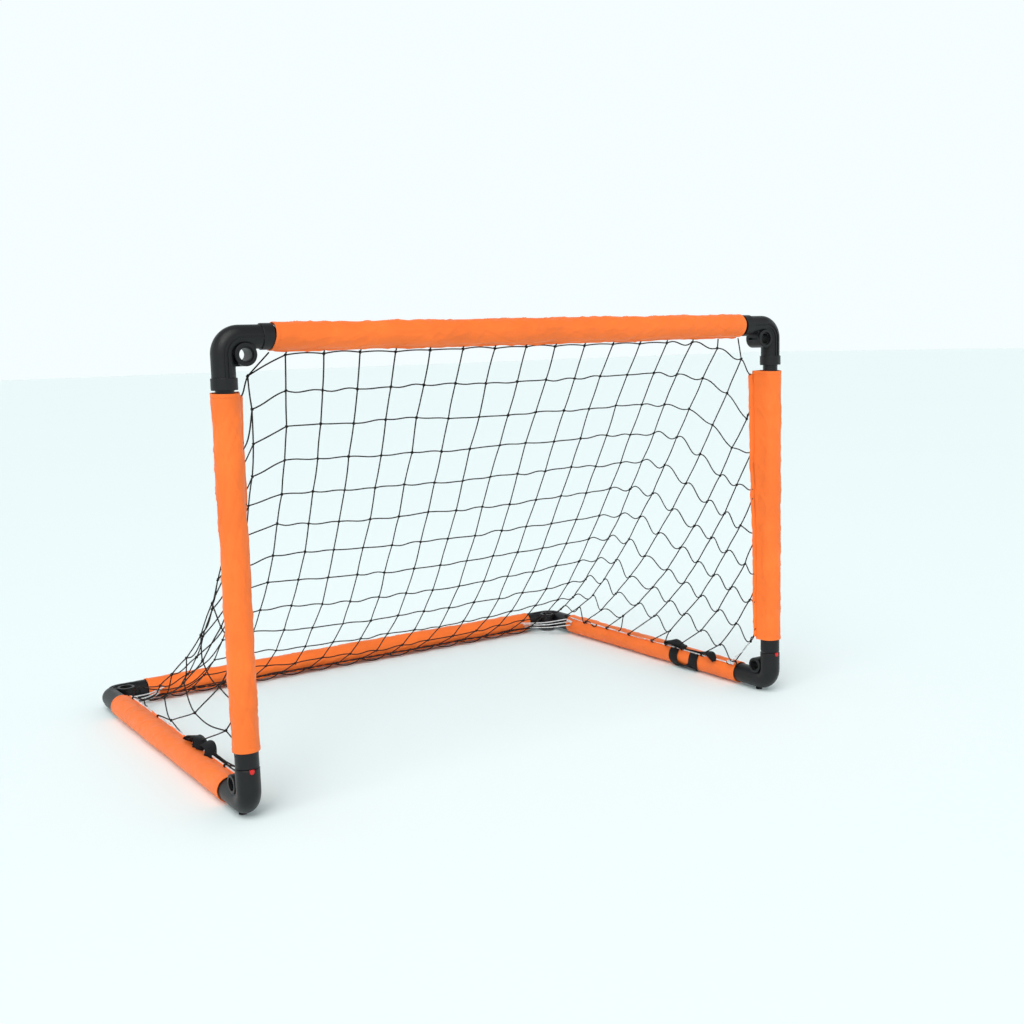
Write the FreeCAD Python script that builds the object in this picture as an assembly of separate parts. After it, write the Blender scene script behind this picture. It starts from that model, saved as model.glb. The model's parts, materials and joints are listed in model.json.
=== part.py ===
"""Folding children's soccer goal frame: padded tube frame, six moulded elbows, net.

Units are millimetres. +Z is up, X runs across the mouth and the mouth faces -Y.
The origin is on the ground, in the middle of the goal's footprint.
The front frame (posts and crossbar) folds back over the base about two pins,
one in each hinge collar, just above the front elbows.
"""

import FreeCAD, Part
import math
import os

# Overall size and tube layout
OVERALL_WIDTH = 900.0
OVERALL_DEPTH = 630.0
OVERALL_HEIGHT = 590.0
SLEEVE_RADIUS = 16.5
SLEEVE_THICKNESS = 1.2
GROUND_GAP = 2.0
TUBE_RADIUS = 11.0
TUBE_WALL = 1.8
FIT = 0.05
OVERCUT = 1.0
SIDE_X = OVERALL_WIDTH / 2 - SLEEVE_RADIUS
FRONT_Y = -(OVERALL_DEPTH / 2 - SLEEVE_RADIUS)
REAR_Y = -FRONT_Y
RAIL_Z = GROUND_GAP + SLEEVE_RADIUS
BAR_Z = OVERALL_HEIGHT - SLEEVE_RADIUS

# Elbows: arms are measured from the corner where the two tube axes cross
BEND_RADIUS = 20.0
ARM_RADIUS = 14.0
ARM_LENGTH = 60.0
BAND_RADIUS = 15.5
BAND_LENGTH = 14.0
BAND_EDGE = 0.7
LONG_ARM_RADIUS = 15.0
LONG_ARM_START = 26.0
LONG_ARM_LENGTH = 84.0
TUBE_STOP = 30.0
HOLLOW_RADIUS = 9.0
RIB_PROUD = 0.9
RIB_WIDTH = 1.8
RIB_SPACING = 4.2
LUG_RADIUS = 13.5
LUG_HOLE_RADIUS = 7.5
LUG_SINK_STEP = 2.0
LUG_SINK_DEPTH = 2.5
LUG_HALF_HEIGHT = 14.5
LUG_EDGE = 0.8
LUG_AT = (23.0, 20.0)
PAD_HALF_HEIGHT = 11.0
WEB_HALF_HEIGHT = 4.5
POCKET_DEPTH = 4.0
POCKET_HALF_LENGTH = 9.0
POCKET_HALF_WIDTH = 1.4

# Front elbows: stouter, with an upright socket that holds the hinge link
FRONT_ARM_RADIUS = 15.0
FRONT_RAIL_ARM = 78.0
FRONT_POST_ARM = 47.0
FRONT_SOCKET_RADIUS = 12.0
FRONT_LUG_AT = (20.0, 23.0)
FRONT_LUG_RADIUS = 12.0
FRONT_LUG_HOLE_RADIUS = 6.5
RIM_BEVEL = 1.2

# Fold hinge, heights above the rail axis
PIVOT_HEIGHT = 65.0
PIN_RADIUS = 2.5
PIN_OUTER_END = 13.4
PIN_INNER_END = 12.0
PIN_EDGE = 0.4
LINK_FOOT = 21.0
LINK_TOP_GAP = 0.4
LINK_EDGE = 0.5
TONGUE_ROOT = 5.0
TONGUE_HALF_WIDTH = 4.0
TONGUE_HALF_DEPTH = 7.0
TONGUE_BACK = 2.5
COLLAR_RADIUS = 14.5
COLLAR_GAP = 0.7
COLLAR_TUBE_SEAT = 74.0
COLLAR_TOP = 94.0
COLLAR_EDGE = 1.0
SWING_CLEARANCE = 0.1
SLOT_CLEARANCE = 0.4

# Lock button in the front elbow's rim, heights above the rail axis
BUTTON_HALF_WIDTH = 3.0
BUTTON_LOW = 41.6
BUTTON_HIGH = 47.2
BUTTON_EDGE = 0.7
BUTTON_FRONT = 15.6
BUTTON_HEAD_THICKNESS = 3.0
BUTTON_TRAVEL = 2.5
BUTTON_CLEARANCE = 0.35
BUTTON_AXIS = 43.3
POCKET_CLEARANCE = 0.3
STEM_RADIUS = 2.0
STEM_END = 3.0
FLANGE_RADIUS = 2.8
FLANGE_THICKNESS = 1.0
SPRING_BORE_RADIUS = 3.1
SPRING_BORE_END = 6.0
SPRING_RADIUS = 2.3
SPRING_WIRE_RADIUS = 0.3
SPRING_TURNS = 5

# Soft parts: sleeves start this far from each corner, net and straps
SLEEVE_START = ARM_LENGTH + 0.5
POST_SLEEVE_TOP = {"left": 63.0, "right": 68.5}
POST_SLEEVE_FOOT = 68.0
FRONT_SLEEVE_START = 66.0
REAR_SLEEVE_START = 72.0
LINER_CLEARANCE = 0.1
LINER_END_GAP = 1.0
FOOT_RADIUS = 5.0
FOOT_FROM_CORNER = 24.0
STRAP_AT = 187.0
STRAP_HALF_LENGTH = 35.0
STRAP_SLOT_HALF_LENGTH = 12.0
STRAP_SLOT_HALF_HEIGHT = 9.0
STRAP_THICKNESS = 1.4
STRAP_GAP = 0.1
STRAP_TAIL_END = 109.0
STRAP_TAIL_WIDTH = 12.0
NET_THICKNESS = 0.4
NET_TOP = (FRONT_Y + 18.0, BAR_Z - 16.0)
NET_FOOT = (REAR_Y - 26.0, RAIL_Z + 20.0)
NET_BACK_HALF_WIDTH = 400.0
NET_SIDE_X = SIDE_X - 18.7
NET_SIDE_INSET = 24.0
CORD_RADIUS = 1.0
CORD_OFFSET = 19.6
CORD_ANGLE = 50.0

X = FreeCAD.Vector(1, 0, 0)
Y = FreeCAD.Vector(0, 1, 0)
Z = FreeCAD.Vector(0, 0, 1)
SIDES = {"left": -1, "right": 1}


def at(x, y, z):
    return FreeCAD.Vector(x, y, z)


def box(low, high):
    """Box between two opposite corners."""
    size = [b - a for a, b in zip(low, high)]
    return Part.makeBox(size[0], size[1], size[2], at(*low))


def rod(radius, start, axis, length, edge=0.0):
    """Round bar, with its end edges rounded if edge is given."""
    bar = Part.makeCylinder(radius, length, start, axis)
    if edge:
        rims = [e for e in bar.Edges if isinstance(e.Curve, Part.Circle)]
        bar = bar.makeFillet(edge, rims)
    return bar


def pipe(outer, inner, start, axis, length):
    """Round tube open at both ends."""
    return rod(outer, start, axis, length).cut(rod(inner, start, axis, length))


def joined(first, others):
    return first.fuse(others).removeSplitter()


def stood(shape, arm_a, arm_b, corner):
    """Moves a shape drawn with arm A on +X and arm B on +Y to where the arms point."""
    normal = arm_a.cross(arm_b)
    turn = FreeCAD.Matrix(
        arm_a.x, arm_b.x, normal.x, corner.x,
        arm_a.y, arm_b.y, normal.y, corner.y,
        arm_a.z, arm_b.z, normal.z, corner.z,
        0, 0, 0, 1,
    )
    moved = shape.copy()
    moved.Placement = FreeCAD.Placement(turn)
    return moved


def bent_bar(radius, length_a, length_b):
    """Round bar along +X and +Y that turns the corner at the bend radius."""
    middle = at(BEND_RADIUS, BEND_RADIUS, 0)
    turn = Part.makeTorus(BEND_RADIUS, radius, middle, Z, 0, 360, 90)
    turn.rotate(middle, Z, 180)
    arm_a = rod(radius, at(BEND_RADIUS, 0, 0), X, length_a - BEND_RADIUS)
    arm_b = rod(radius, at(0, BEND_RADIUS, 0), Y, length_b - BEND_RADIUS)
    return turn.fuse([arm_a, arm_b])


def bent_strip(inner, outer, half_height, length_a, length_b):
    """Flat strip that follows the bend, between two offsets outward of the axis."""
    middle = at(BEND_RADIUS, BEND_RADIUS, -half_height)
    height = 2 * half_height
    turn = Part.makeCylinder(BEND_RADIUS + outer, height, middle, Z, 90)
    turn = turn.cut(Part.makeCylinder(BEND_RADIUS + inner, height, middle, Z))
    turn.rotate(middle, Z, 180)
    arm_a = box((BEND_RADIUS, -outer, -half_height), (length_a, -inner, half_height))
    arm_b = box((-outer, BEND_RADIUS, -half_height), (-inner, length_b, half_height))
    return turn.fuse([arm_a, arm_b])


def ribs(radius, length_a, length_b):
    """The two fine moulded ribs that follow the bend on both flat-on faces."""
    half = radius + RIB_PROUD
    return [
        bent_strip(middle - RIB_WIDTH / 2, middle + RIB_WIDTH / 2, half, length_a, length_b)
        for middle in (-RIB_SPACING / 2, RIB_SPACING / 2)
    ]


def lug(centre, radius):
    """Round boss in the elbow's inside corner, with the pad and web that carry it."""
    x, y = centre
    ring = rod(radius, at(x, y, -LUG_HALF_HEIGHT), Z, 2 * LUG_HALF_HEIGHT, LUG_EDGE)
    pad = box((0, 0, -PAD_HALF_HEIGHT), (x + radius, y, PAD_HALF_HEIGHT))
    corners = [(0, 0), (x + radius, 0), (x + radius, y), (x, y + radius), (0, y + radius)]
    outline = [at(a, b, -WEB_HALF_HEIGHT) for a, b in corners]
    web = Part.Face(Part.makePolygon(outline + outline[:1])).extrude(2 * WEB_HALF_HEIGHT * Z)
    return [ring, pad, web]


def lug_hole(centre, radius):
    """Through hole of the boss, counterbored at both ends."""
    x, y = centre
    outside = LUG_HALF_HEIGHT + OVERCUT
    sink = radius + LUG_SINK_STEP
    hole = rod(radius, at(x, y, -outside), Z, 2 * outside)
    low = rod(sink, at(x, y, -outside), Z, LUG_SINK_DEPTH + OVERCUT)
    high = rod(sink, at(x, y, LUG_HALF_HEIGHT - LUG_SINK_DEPTH), Z, LUG_SINK_DEPTH + OVERCUT)
    return [hole, low, high]


def lug_pocket():
    """Flat moulding pocket in the side of the corner elbow's boss."""
    x, y = LUG_AT
    edge = x + LUG_RADIUS
    return box(
        (edge - POCKET_DEPTH, y - POCKET_HALF_WIDTH, -POCKET_HALF_LENGTH),
        (edge + OVERCUT, y + POCKET_HALF_WIDTH, POCKET_HALF_LENGTH),
    )


def socket(radius, start, axis, length):
    return rod(radius + FIT, start, axis, length)


def corner_elbow(long_arm):
    """Elbow of the top and rear corners, with a lug.

    Both arms end in a band, but the rear elbows have a plain long arm on +Y
    that reaches under the side rail's sleeve.
    """
    length_b = LONG_ARM_LENGTH if long_arm else ARM_LENGTH
    body = bent_bar(ARM_RADIUS, ARM_LENGTH, length_b)
    band_start = ARM_LENGTH - BAND_LENGTH
    ends = [rod(BAND_RADIUS, band_start * X, X, BAND_LENGTH, BAND_EDGE)]
    if long_arm:
        length = LONG_ARM_LENGTH - LONG_ARM_START
        ends.append(rod(LONG_ARM_RADIUS, LONG_ARM_START * Y, Y, length, BAND_EDGE))
    else:
        ends.append(rod(BAND_RADIUS, band_start * Y, Y, BAND_LENGTH, BAND_EDGE))
    rib_length = band_start + OVERCUT
    extras = ends + ribs(ARM_RADIUS, rib_length, rib_length) + lug(LUG_AT, LUG_RADIUS)
    body = joined(body, extras)
    sockets = [
        socket(TUBE_RADIUS, TUBE_STOP * X, X, ARM_LENGTH - TUBE_STOP + OVERCUT),
        socket(TUBE_RADIUS, TUBE_STOP * Y, Y, length_b - TUBE_STOP + OVERCUT),
    ]
    hollow = bent_bar(HOLLOW_RADIUS, TUBE_STOP + OVERCUT, TUBE_STOP + OVERCUT)
    return body.cut([hollow, lug_pocket()] + sockets + lug_hole(LUG_AT, LUG_HOLE_RADIUS))


def button_window(depth_from, depth_to, low, high):
    """Upright slot with a round foot, cut in the post arm's front for the lock button."""
    half = BUTTON_HALF_WIDTH + BUTTON_CLEARANCE
    foot = rod(half, at(-depth_from, low + half, 0), X, depth_from - depth_to)
    slot = box((-depth_from, low + half, -half), (-depth_to, high, half))
    return foot.fuse(slot)


def front_elbow():
    """Front corner elbow: rail arm on +X, post arm on +Y with the hinge socket."""
    body = bent_bar(FRONT_ARM_RADIUS, FRONT_RAIL_ARM, FRONT_POST_ARM)
    body = joined(body, lug(FRONT_LUG_AT, FRONT_LUG_RADIUS))
    rim_start = at(0, FRONT_POST_ARM - RIM_BEVEL, 0)
    wide = FRONT_ARM_RADIUS + OVERCUT
    rim = rod(wide, rim_start, Y, RIM_BEVEL + OVERCUT)
    cone_end = FRONT_ARM_RADIUS - RIM_BEVEL - OVERCUT
    cone = Part.makeCone(FRONT_ARM_RADIUS, cone_end, RIM_BEVEL + OVERCUT, rim_start, Y)
    hollow = bent_bar(HOLLOW_RADIUS, TUBE_STOP + OVERCUT, FRONT_POST_ARM)
    rail_socket = socket(TUBE_RADIUS, TUBE_STOP * X, X, FRONT_RAIL_ARM - TUBE_STOP + OVERCUT)
    post_socket = rod(FRONT_SOCKET_RADIUS, at(0, LINK_FOOT, 0), Y, FRONT_POST_ARM)
    window = button_window(
        wide + OVERCUT, FRONT_SOCKET_RADIUS - OVERCUT,
        BUTTON_LOW - BUTTON_CLEARANCE, FRONT_POST_ARM + OVERCUT,
    )
    cuts = [rim.cut(cone), hollow, rail_socket, post_socket, window]
    return body.cut(cuts + lug_hole(FRONT_LUG_AT, FRONT_LUG_HOLE_RADIUS))


def hinge_link():
    """Plug held in the front elbow, with the tongue that carries the hinge pin."""
    top = FRONT_POST_ARM - LINK_TOP_GAP
    plug = rod(FRONT_SOCKET_RADIUS - FIT, at(0, 0, LINK_FOOT), Z, top - LINK_FOOT, LINK_EDGE)
    tongue = box(
        (-TONGUE_HALF_WIDTH, -TONGUE_HALF_DEPTH, top - TONGUE_ROOT),
        (TONGUE_HALF_WIDTH, TONGUE_BACK, PIVOT_HEIGHT),
    )
    eye = rod(TONGUE_HALF_DEPTH, at(-TONGUE_HALF_WIDTH, 0, PIVOT_HEIGHT), X, 2 * TONGUE_HALF_WIDTH)
    body = joined(plug, [tongue, eye])
    half = BUTTON_HALF_WIDTH + BUTTON_CLEARANCE
    pocket_back = BUTTON_FRONT - BUTTON_HEAD_THICKNESS - BUTTON_TRAVEL - POCKET_CLEARANCE
    pocket = box(
        (-half, -FRONT_SOCKET_RADIUS - OVERCUT, BUTTON_LOW - BUTTON_CLEARANCE),
        (half, -pocket_back, top + OVERCUT),
    )
    guide = rod(STEM_RADIUS + FIT, at(0, -FRONT_SOCKET_RADIUS, BUTTON_AXIS), Y, FRONT_SOCKET_RADIUS)
    chamber_front = -STEM_END - FLANGE_THICKNESS - FIT
    chamber = rod(
        SPRING_BORE_RADIUS, at(0, chamber_front, BUTTON_AXIS), Y, SPRING_BORE_END - chamber_front
    )
    beside = TONGUE_HALF_WIDTH + OVERCUT
    pin_hole = rod(PIN_RADIUS, at(-beside, 0, PIVOT_HEIGHT), X, 2 * beside)
    return body.cut([pocket, guide, chamber, pin_hole])


def hinge_pin():
    """Pin of the left hinge, pushed in from the outer side."""
    start = at(-PIN_OUTER_END, 0, PIVOT_HEIGHT)
    return rod(PIN_RADIUS, start, X, PIN_OUTER_END + PIN_INNER_END, PIN_EDGE)


def hinge_collar():
    """Knuckle on the post's foot: square in front, rounded behind so that it folds back."""
    foot = FRONT_POST_ARM + COLLAR_GAP
    outside = COLLAR_RADIUS + OVERCUT
    body = rod(COLLAR_RADIUS, at(0, 0, foot), Z, COLLAR_TOP - foot, COLLAR_EDGE)
    swing_radius = PIVOT_HEIGHT - foot - SWING_CLEARANCE
    swing = rod(swing_radius, at(-outside, 0, PIVOT_HEIGHT), X, 2 * outside)
    behind = box((-outside, 0, foot - OVERCUT), (outside, outside, PIVOT_HEIGHT))
    slot_half = TONGUE_HALF_WIDTH + SLOT_CLEARANCE
    slot = box(
        (-slot_half, -TONGUE_HALF_DEPTH - SLOT_CLEARANCE, foot - OVERCUT),
        (slot_half, outside, PIVOT_HEIGHT + TONGUE_HALF_DEPTH + SLOT_CLEARANCE),
    )
    seat_depth = COLLAR_TOP - COLLAR_TUBE_SEAT
    seat = socket(TUBE_RADIUS, at(0, 0, COLLAR_TUBE_SEAT), Z, seat_depth + OVERCUT)
    bore_length = outside + PIN_INNER_END + BUTTON_CLEARANCE
    pin_hole = rod(PIN_RADIUS + FIT, at(-outside, 0, PIVOT_HEIGHT), X, bore_length)
    return body.cut([behind.cut(swing), slot, seat, pin_hole])


def lock_button():
    """Press button: a head with a round foot, on a stem with a flange that keeps it in."""
    front, back = -BUTTON_FRONT, -(BUTTON_FRONT - BUTTON_HEAD_THICKNESS)
    middle = BUTTON_LOW + BUTTON_HALF_WIDTH
    foot = rod(BUTTON_HALF_WIDTH, at(0, front, middle), Y, BUTTON_HEAD_THICKNESS)
    crown = box((-BUTTON_HALF_WIDTH, front, middle), (BUTTON_HALF_WIDTH, back, BUTTON_HIGH))
    head = joined(foot, [crown])
    rim = [e for e in head.Edges if all(abs(v.Y - front) < 1e-6 for v in e.Vertexes)]
    head = head.makeFillet(BUTTON_EDGE, rim)
    stem = rod(STEM_RADIUS, at(0, back - LINK_EDGE, BUTTON_AXIS), Y, -STEM_END - back + LINK_EDGE)
    flange = rod(FLANGE_RADIUS, at(0, -STEM_END - FLANGE_THICKNESS, BUTTON_AXIS), Y, FLANGE_THICKNESS)
    return joined(head, [stem, flange])


def button_spring():
    """Compression coil between the button's flange and the bottom of its bore."""
    end_gap = SPRING_WIRE_RADIUS + 2 * FIT
    start = -STEM_END + end_gap
    length = SPRING_BORE_END - end_gap - start
    helix = Part.makeHelix(length / SPRING_TURNS, length, SPRING_RADIUS)
    wire_end = Part.Circle(at(SPRING_RADIUS, 0, 0), Y, SPRING_WIRE_RADIUS)
    section = Part.Wire([wire_end.toShape()])
    coil = Part.Wire(helix).makePipeShell([section], True, True)
    coil.rotate(at(0, 0, 0), X, -90)
    coil.translate(at(0, start, BUTTON_AXIS))
    return coil


def foot_under(elbow, x, y):
    """Rubber foot between the ground and the elbow's underside."""
    pad = rod(FOOT_RADIUS, at(x, y, 0), Z, RAIL_Z / 2)
    pad = pad.cut(elbow)
    return min(pad.Solids, key=lambda solid: solid.CenterOfMass.z)


def rail_strap(side):
    """Webbing strap on a side rail's inner half, with a slot and a tail that runs forward."""
    inner = SLEEVE_RADIUS + STRAP_GAP
    outer = inner + STRAP_THICKNESS
    x, y = side * SIDE_X, FRONT_Y + STRAP_AT
    ring = pipe(outer, inner, at(x, y - STRAP_HALF_LENGTH, RAIL_Z), Y, 2 * STRAP_HALF_LENGTH)
    reach = x - side * (outer + OVERCUT)
    half_ring = ring.common(box(
        (min(x, reach), y - STRAP_HALF_LENGTH, RAIL_Z - outer),
        (max(x, reach), y + STRAP_HALF_LENGTH, RAIL_Z + outer),
    ))
    slot = box(
        (min(x, reach), y - STRAP_SLOT_HALF_LENGTH, RAIL_Z - STRAP_SLOT_HALF_HEIGHT),
        (max(x, reach), y + STRAP_SLOT_HALF_LENGTH, RAIL_Z + STRAP_SLOT_HALF_HEIGHT),
    )
    tail_start = FRONT_Y + STRAP_TAIL_END
    tail_ring = pipe(outer, inner, at(x, tail_start, RAIL_Z), Y, y - tail_start)
    tail_edge = x - side * STRAP_TAIL_WIDTH
    tail = tail_ring.common(box(
        (min(x, tail_edge), tail_start, RAIL_Z), (max(x, tail_edge), y, RAIL_Z + outer)
    ))
    return joined(half_ring.cut(slot), [tail])


def net_back():
    """Envelope of the sloping back net, from behind the crossbar to the rear rail."""
    (top_y, top_z), (foot_y, foot_z) = NET_TOP, NET_FOOT
    slope = math.hypot(foot_y - top_y, top_z - foot_z)
    inward = at(0, foot_z - top_z, top_y - foot_y) * (NET_THICKNESS / slope)
    half = NET_BACK_HALF_WIDTH
    upper = [at(-half, top_y, top_z), at(half, top_y, top_z)]
    lower = [at(half, foot_y, foot_z), at(-half, foot_y, foot_z)]
    outline = upper + lower
    return Part.Face(Part.makePolygon(outline + outline[:1])).extrude(inward)


def net_side(side):
    """Envelope of one triangular side net, just inboard of the post and the side rail."""
    (top_y, top_z), (foot_y, foot_z) = NET_TOP, NET_FOOT
    x = side * NET_SIDE_X
    outline = [
        at(x, top_y, top_z - NET_SIDE_INSET),
        at(x, foot_y - NET_SIDE_INSET, foot_z),
        at(x, top_y, foot_z),
    ]
    return Part.Face(Part.makePolygon(outline + outline[:1])).extrude(X * side * NET_THICKNESS)


def edge_cord(side):
    """Lashing cord of the net's lower edge, along the side rail's inner top."""
    lean = math.radians(CORD_ANGLE)
    x = side * (SIDE_X - CORD_OFFSET * math.cos(lean))
    z = RAIL_Z + CORD_OFFSET * math.sin(lean)
    start = FRONT_Y + FRONT_RAIL_ARM
    return rod(CORD_RADIUS, at(x, start, z), Y, REAR_Y - LONG_ARM_LENGTH - start)


def clad_tube(parts, name, start, axis, tube, liner, sleeve):
    """One frame tube with its foam liner and fabric sleeve; each takes (from, to) on the axis."""
    inner_sleeve = SLEEVE_RADIUS - SLEEVE_THICKNESS
    rings = {
        "tube": (tube, TUBE_RADIUS, TUBE_RADIUS - TUBE_WALL),
        "liner": (liner, inner_sleeve - LINER_CLEARANCE, TUBE_RADIUS + LINER_CLEARANCE),
        "sleeve": (sleeve, SLEEVE_RADIUS, inner_sleeve),
    }
    for piece, (span, outer, inner) in rings.items():
        low, high = span
        parts[f"{name}_{piece}"] = pipe(outer, inner, start + axis * low, axis, high - low)


def frame_tubes(parts):
    """Crossbar, posts, side rails and rear rail, each with its liner and sleeve."""
    across = 2 * SIDE_X
    liner_start = SLEEVE_START + LINER_END_GAP
    across_tube = (TUBE_STOP, across - TUBE_STOP)
    across_liner = (liner_start, across - liner_start)
    across_sleeve = (SLEEVE_START, across - SLEEVE_START)
    for name, y, z in (("crossbar", FRONT_Y, BAR_Z), ("rear_rail", REAR_Y, RAIL_Z)):
        start = at(-SIDE_X, y, z)
        clad_tube(parts, name, start, X, across_tube, across_liner, across_sleeve)
    post = BAR_Z - RAIL_Z
    rail = REAR_Y - FRONT_Y
    for name, side in SIDES.items():
        start = at(side * SIDE_X, FRONT_Y, RAIL_Z)
        sleeve_top = post - POST_SLEEVE_TOP[name]
        clad_tube(
            parts, f"{name}_post", start, Z,
            (COLLAR_TUBE_SEAT, post - TUBE_STOP),
            (COLLAR_TOP + LINER_END_GAP, sleeve_top - LINER_END_GAP),
            (POST_SLEEVE_FOOT, sleeve_top),
        )
        clad_tube(
            parts, f"{name}_rail", start, Y,
            (TUBE_STOP, rail - TUBE_STOP),
            (FRONT_RAIL_ARM + LINER_END_GAP, rail - LONG_ARM_LENGTH - LINER_END_GAP),
            (FRONT_SLEEVE_START, rail - REAR_SLEEVE_START),
        )


def corners(parts):
    """The six elbows and the feet under the four lower ones."""
    top, rear, front = corner_elbow(False), corner_elbow(True), front_elbow()
    for name, side in SIDES.items():
        inboard = X * -side
        x = side * SIDE_X
        parts[f"top_elbow_{name}"] = stood(top, inboard, Z * -1, at(x, FRONT_Y, BAR_Z))
        back = stood(rear, inboard, Y * -1, at(x, REAR_Y, RAIL_Z))
        parts[f"rear_elbow_{name}"] = back
        lower = stood(front, Y, Z, at(x, FRONT_Y, RAIL_Z))
        parts[f"front_elbow_{name}"] = lower
        parts[f"front_foot_{name}"] = foot_under(lower, x, FRONT_Y + FOOT_FROM_CORNER)
        parts[f"rear_foot_{name}"] = foot_under(back, x - side * FOOT_FROM_CORNER, REAR_Y)


def hinges(parts):
    """Hinge link, pin, collar, lock button and spring; the right set mirrors the left."""
    pieces = {
        "hinge_link": hinge_link(),
        "hinge_pin": hinge_pin(),
        "hinge_collar": hinge_collar(),
        "lock_button": lock_button(),
        "button_spring": button_spring(),
    }
    for name, side in SIDES.items():
        for piece, shape in pieces.items():
            moved = shape.mirror(at(0, 0, 0), X) if name == "right" else shape.copy()
            moved.translate(at(side * SIDE_X, FRONT_Y, RAIL_Z))
            parts[f"{piece}_{name}"] = moved


def soft_goods(parts):
    """Net envelopes, lashing cords and straps."""
    parts["net_back"] = net_back()
    for name, side in SIDES.items():
        parts[f"net_side_{name}"] = net_side(side)
        parts[f"edge_cord_{name}"] = edge_cord(side)
        parts[f"rail_strap_{name}"] = rail_strap(side)


def main():
    parts = {}
    frame_tubes(parts)
    corners(parts)
    hinges(parts)
    soft_goods(parts)
    os.makedirs("parts", exist_ok=True)
    for name, shape in parts.items():
        if not shape.isValid() or not shape.Solids:
            raise ValueError(f"{name} is not a valid solid")
        shape.exportStep(f"parts/{name}.step")
        print(f"{name}: {len(shape.Solids)} solid, {shape.Volume / 1000:.1f} cm3")


main()
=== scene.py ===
"""Folding soccer goal: fabric sleeves, knotted net, straps and cords around the CAD frame."""

import json
import math
import random

import bpy
import numpy as np
from mathutils import Euler, Matrix, Vector, noise


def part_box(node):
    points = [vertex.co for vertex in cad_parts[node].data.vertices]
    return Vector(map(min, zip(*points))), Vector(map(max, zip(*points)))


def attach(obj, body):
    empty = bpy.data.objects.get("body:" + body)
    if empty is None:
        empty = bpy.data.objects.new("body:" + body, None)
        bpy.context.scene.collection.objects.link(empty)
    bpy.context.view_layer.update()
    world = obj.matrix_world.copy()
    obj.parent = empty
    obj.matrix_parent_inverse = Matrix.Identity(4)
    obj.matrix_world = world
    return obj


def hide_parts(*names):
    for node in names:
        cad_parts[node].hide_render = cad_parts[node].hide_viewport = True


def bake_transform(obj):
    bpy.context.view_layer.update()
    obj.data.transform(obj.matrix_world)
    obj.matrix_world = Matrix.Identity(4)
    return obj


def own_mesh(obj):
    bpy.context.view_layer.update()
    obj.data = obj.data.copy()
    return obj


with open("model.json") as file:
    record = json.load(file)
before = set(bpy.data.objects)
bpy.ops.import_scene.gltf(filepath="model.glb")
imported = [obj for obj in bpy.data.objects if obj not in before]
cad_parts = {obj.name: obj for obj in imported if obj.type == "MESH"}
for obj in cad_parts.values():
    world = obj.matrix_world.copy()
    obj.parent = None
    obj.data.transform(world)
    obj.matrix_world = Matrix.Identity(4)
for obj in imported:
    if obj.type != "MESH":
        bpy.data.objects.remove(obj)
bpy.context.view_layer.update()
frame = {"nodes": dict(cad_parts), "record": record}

MM = 0.001
UP = Vector((0, 0, 1))
SIDES = {"left": -1, "right": 1}


def centre(node):
    """Middle of a CAD node's box."""
    low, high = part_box(node)
    return (Vector(low) + Vector(high)) / 2


SIDE_X = centre("right_rail_tube").x
RAIL_Z = centre("right_rail_tube").z
REAR_Y = centre("rear_rail_tube").y
FRONT_Y = centre("crossbar_tube").y
BAR_Z = centre("crossbar_tube").z
SLEEVE_RADIUS = (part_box("crossbar_sleeve")[1][2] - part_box("crossbar_sleeve")[0][2]) / 2
TUBE_RADIUS = (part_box("crossbar_tube")[1][2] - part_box("crossbar_tube")[0][2]) / 2
FOLD = next(j for j in frame["record"]["behaviour"]["joints"] if j["name"] == "frame_fold")
PIVOT = Vector(FOLD["pos_m"])


def make_camera():
    """Camera low at the front left, framed as the goal is usually shown."""
    data = bpy.data.cameras.new("camera")
    data.sensor_width = 36
    data.lens = 43.574
    data.shift_x, data.shift_y = 0.0017, 0.0053
    camera = bpy.data.objects.new("camera", data)
    bpy.context.scene.collection.objects.link(camera)
    turn = Euler((math.radians(90 - 8.03), 0, math.radians(-33.28)), "XYZ").to_matrix()
    roll = Matrix.Rotation(math.radians(-1.64), 3, "Z")
    place = Vector((-0.9459, FRONT_Y - 1.3681, RAIL_Z + 0.5399))
    camera.matrix_world = Matrix.Translation(place) @ (turn @ roll).to_4x4()
    bpy.context.scene.camera = camera


make_camera()


# Materials

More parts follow.
